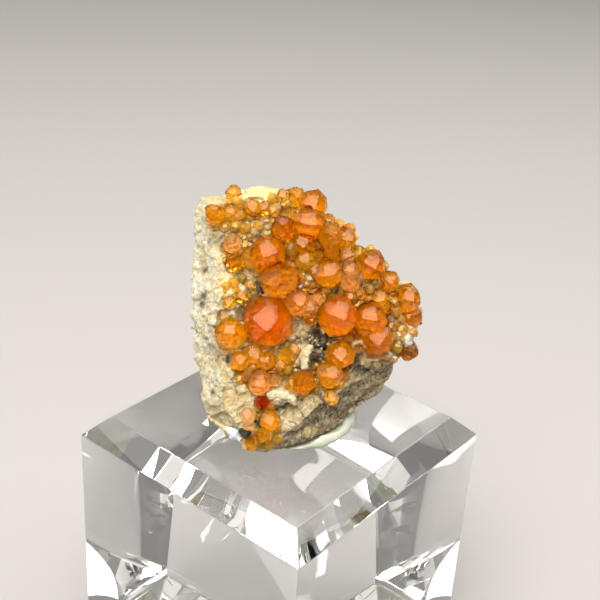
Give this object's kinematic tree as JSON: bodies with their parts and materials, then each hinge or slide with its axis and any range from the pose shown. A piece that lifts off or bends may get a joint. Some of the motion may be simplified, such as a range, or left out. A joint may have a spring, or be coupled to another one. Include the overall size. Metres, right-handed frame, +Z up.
{
  "type": "garnet specimen",
  "caption": "Orange garnet crystals grown over a wedge of pale feldspar rock, held leaning back in putty on a clear bevelled display block.",
  "frame": {"origin": "the middle of the display block's underside", "axes": "+Z up, the block's sides square to X and Y. The crystal face looks towards the block's +X -Y corner and leans back."},
  "size_m": [0.04, 0.04, 0.0716],
  "materials": {
    "garnet_deep": "glossy translucent deep orange crystal",
    "garnet_amber": "glossy translucent amber crystal",
    "garnet_pale": "cloudy translucent pinkish amber crystal",
    "quartz_smoky": "glossy translucent smoky crystal",
    "feldspar_plate": "pale broken feldspar",
    "black_mineral": "glossy black mineral grain",
    "rock": "rough granular cream feldspar",
    "tack": "smooth satin putty",
    "acrylic": "clear polished acrylic"
  },
  "bodies": {
    "root": {"garnet_great": "garnet_deep", "garnet_upper_left": "garnet_deep", "garnet_rounded": "garnet_amber", "garnet_neck": "garnet_amber", "garnet_crown": "garnet_deep", "garnet_upper_mass": "garnet_deep", "garnet_upper_right": "garnet_deep", "garnet_middle": "garnet_deep", "garnet_wedge": "garnet_deep", "garnet_spine": "garnet_pale", "garnet_shoulder_right": "garnet_deep", "garnet_pane": "garnet_pale", "garnet_slope": "garnet_amber", "garnet_edge_pair": "garnet_deep", "garnet_edge_low": "garnet_amber", "garnet_right_pair": "garnet_deep", "garnet_ball": "garnet_deep", "garnet_pale_group": "garnet_pale", "garnet_saddle": "garnet_amber", "garnet_lower_right": "garnet_deep", "garnet_lower": "garnet_deep", "garnet_lower_middle": "garnet_amber", "garnet_bead": "garnet_amber", "garnet_left": "garnet_deep", "garnet_seed_a": "garnet_amber", "garnet_seed_b": "garnet_amber", "garnet_seed_c": "garnet_amber", "garnet_seed_d": "garnet_amber", "garnet_honey": "garnet_amber", "garnet_veil": "garnet_pale", "garnet_corner": "garnet_amber", "garnet_shoulder_left": "garnet_amber", "garnet_ridge": "garnet_amber", "garnet_peak_left": "garnet_amber", "garnet_under_great": "garnet_amber", "garnet_lower_left": "garnet_pale", "garnet_crumbs": "garnet_amber", "garnet_foot_left": "garnet_pale", "garnet_foot_right": "garnet_amber", "garnet_toe": "garnet_amber", "garnet_ember": "garnet_deep", "garnet_glint": "garnet_amber", "garnet_sunny": "garnet_amber", "quartz_smoky_left": "quartz_smoky", "quartz_blade": "garnet_pale", "quartz_smoky_upper": "quartz_smoky", "quartz_smoky_lower": "quartz_smoky", "quartz_stub": "garnet_pale", "flake_shell": "feldspar_plate", "flake_upright": "feldspar_plate", "black_grain": "black_mineral", "pale_chip": "feldspar_plate", "rock": "rock", "tack": "tack", "block": "acrylic"}
  },
  "joints": []
}
